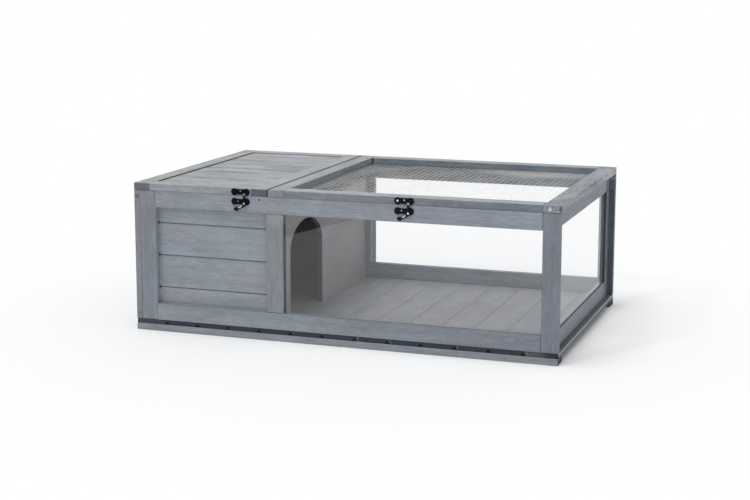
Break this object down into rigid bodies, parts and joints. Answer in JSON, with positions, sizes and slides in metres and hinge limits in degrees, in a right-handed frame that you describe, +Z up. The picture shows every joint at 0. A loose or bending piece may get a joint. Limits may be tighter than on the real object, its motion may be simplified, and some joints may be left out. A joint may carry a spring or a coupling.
{
  "type": "tortoise house",
  "caption": "Low timber pet house with a boarded sleeping end, an arched doorway, a clear-windowed run, and hinged boarded and wire-mesh lids with hook latches",
  "frame": {"origin": "under the middle of the runners, at the middle of the whole object's length and depth, on the surface it stands on", "axes": "+X along the house from the sleeping end to the run, +Y from the latches to the hinges, +Z up"},
  "size_m": [0.94, 0.6048, 0.3251],
  "materials": {
    "front_timber": "blue grey stain on pine, matt, grain showing",
    "side_timber": "darker blue grey stain on pine, matt",
    "top_timber": "pale weathered grey stain, matt, grain showing",
    "boards": "blue grey stain on tongued boards, matt",
    "floor_timber": "grey stain on tongued boards, matt",
    "runner_timber": "dark grey stain, matt",
    "divider_wood": "warm grey stain, matt",
    "clear_sheet": "clear, polished",
    "wire": "galvanised wire",
    "black_metal": "black gloss lacquer",
    "hinge_metal": "bright plated steel"
  },
  "bodies": {
    "house": {"front_runner": "runner_timber", "rear_runner": "runner_timber", "floor_boards": "floor_timber", "front_left_post": "side_timber", "front_middle_post": "front_timber", "front_right_post": "side_timber", "front_top_rail": "front_timber", "front_bottom_rail": "front_timber", "front_boards": "boards", "front_window": "clear_sheet", "rear_left_post": "side_timber", "rear_middle_post": "front_timber", "rear_right_post": "side_timber", "rear_top_rail": "front_timber", "rear_bottom_rail": "front_timber", "rear_boards": "boards", "rear_window": "clear_sheet", "left_front_stile": "side_timber", "left_rear_stile": "side_timber", "left_top_rail": "side_timber", "left_bottom_rail": "side_timber", "left_boards": "boards", "right_front_stile": "side_timber", "right_rear_stile": "side_timber", "right_top_rail": "side_timber", "right_bottom_rail": "side_timber", "right_window": "clear_sheet", "divider": "divider_wood", "front_cleat": "divider_wood", "rear_cleat": "divider_wood", "house_hinge_left_frame_leaf": "hinge_metal", "house_hinge_left_pin": "hinge_metal", "house_hinge_right_frame_leaf": "hinge_metal", "house_hinge_right_pin": "hinge_metal", "mesh_hinge_left_frame_leaf": "hinge_metal", "mesh_hinge_left_pin": "hinge_metal", "mesh_hinge_right_frame_leaf": "hinge_metal", "mesh_hinge_right_pin": "hinge_metal", "house_latch_base": "black_metal", "house_latch_rivet": "black_metal", "mesh_latch_base": "black_metal", "mesh_latch_rivet": "black_metal"},
    "house_lid": {"house_lid_left_stile": "top_timber", "house_lid_right_stile": "top_timber", "house_lid_front_rail": "top_timber", "house_lid_rear_rail": "top_timber", "house_lid_boards": "top_timber", "house_hinge_left_lid_leaf": "hinge_metal", "house_hinge_right_lid_leaf": "hinge_metal", "house_latch_keeper": "black_metal"},
    "mesh_lid": {"mesh_lid_left_stile": "top_timber", "mesh_lid_right_stile": "top_timber", "mesh_lid_front_rail": "top_timber", "mesh_lid_rear_rail": "top_timber", "wire_mesh": "wire", "mesh_hinge_left_lid_leaf": "hinge_metal", "mesh_hinge_right_lid_leaf": "hinge_metal", "mesh_latch_keeper": "black_metal"},
    "house_latch_lever": {"house_latch_lever": "black_metal"},
    "mesh_latch_lever": {"mesh_latch_lever": "black_metal"}
  },
  "joints": [
    {"name": "house_lid_hinge", "type": "hinge", "parent": "house", "child": "house_lid", "pos_m": [-0.3135, 0.29995, 0.30935], "axis": [-1, 0, 0], "range_deg": [0, 170]},
    {"name": "mesh_lid_hinge", "type": "hinge", "parent": "house", "child": "mesh_lid", "pos_m": [0.1568, 0.29995, 0.30935], "axis": [-1, 0, 0], "range_deg": [0, 170]},
    {"name": "house_latch_turn", "type": "hinge", "parent": "house", "child": "house_latch_lever", "pos_m": [-0.2082, -0.29955, 0.2923], "axis": [0, 1, 0], "range_deg": [0, 90]},
    {"name": "mesh_latch_turn", "type": "hinge", "parent": "house", "child": "mesh_latch_lever", "pos_m": [0.1553, -0.29955, 0.2923], "axis": [0, 1, 0], "range_deg": [0, 90]}
  ]
}
